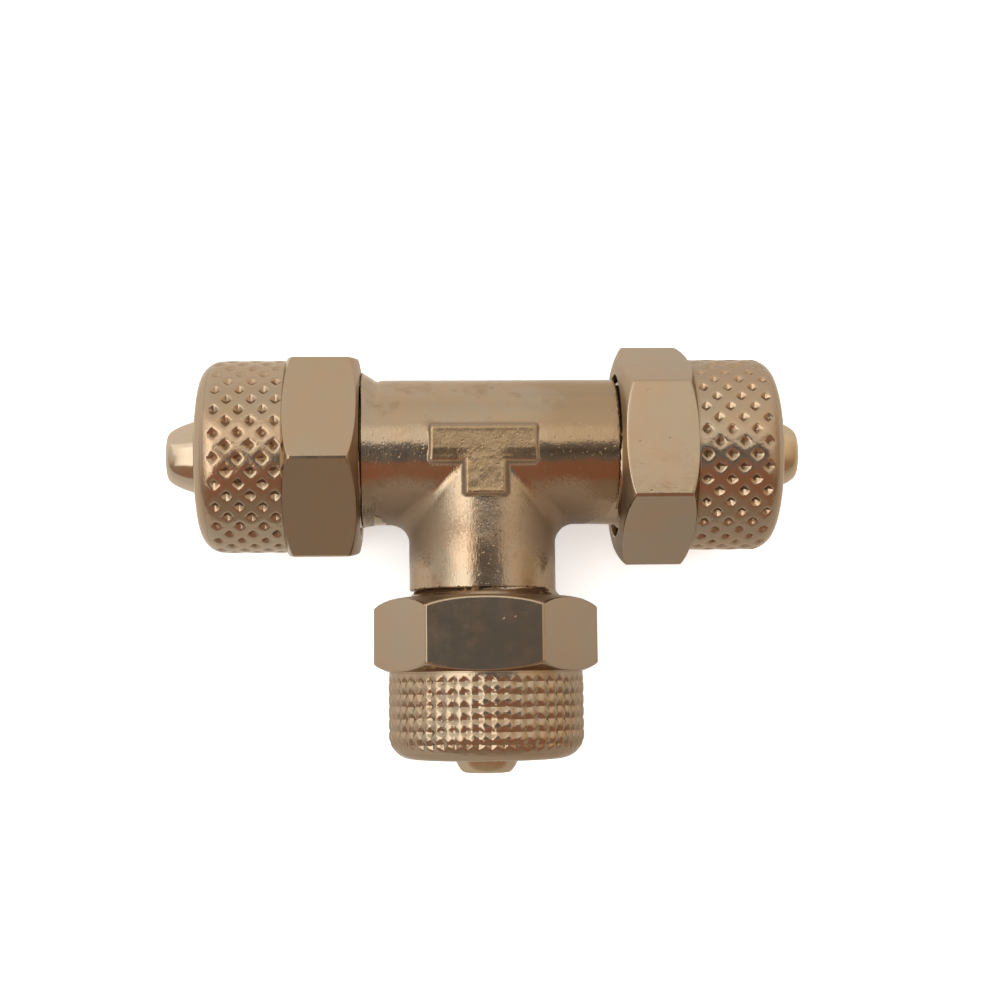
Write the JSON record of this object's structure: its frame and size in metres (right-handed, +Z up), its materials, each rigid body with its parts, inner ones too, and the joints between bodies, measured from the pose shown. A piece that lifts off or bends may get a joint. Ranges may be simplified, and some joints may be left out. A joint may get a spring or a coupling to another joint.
{
  "type": "equal tee union for plastic tube",
  "caption": "Brass tee union for small plastic tube: forged tee body with three tapered spigots, each under a knurled hexagon clamp nut that unscrews.",
  "frame": {"origin": "centre of the fitting's footprint on the surface it lies on", "axes": "+X along the run to the right port, -Y along the branch, +Z up through the raised pad; the arm axes cross at x 0, y 6.28 mm, z 6.83 mm"},
  "size_m": [0.0388, 0.0264, 0.0137],
  "materials": {
    "forged_brass": "nickel-plated, as forged, satin with fine pits",
    "nut_brass": "nickel-plated, turned and tumbled, satin, knurled barrel"
  },
  "bodies": {
    "tee": {"tee_body": "forged_brass"},
    "left_clamp": {"left_nut": "nut_brass"},
    "right_clamp": {"right_nut": "nut_brass"},
    "branch_clamp": {"branch_nut": "nut_brass"}
  },
  "joints": [
    {"name": "left_nut_travel", "type": "slide", "parent": "tee", "child": "left_clamp", "axis": [-1, 0, 0], "range_m": [0, 0.0145]},
    {"name": "right_nut_travel", "type": "slide", "parent": "tee", "child": "right_clamp", "axis": [1, 0, 0], "range_m": [-0.0005, 0.014]},
    {"name": "branch_nut_travel", "type": "slide", "parent": "tee", "child": "branch_clamp", "axis": [0, -1, 0], "range_m": [-0.00125, 0.01325]}
  ]
}
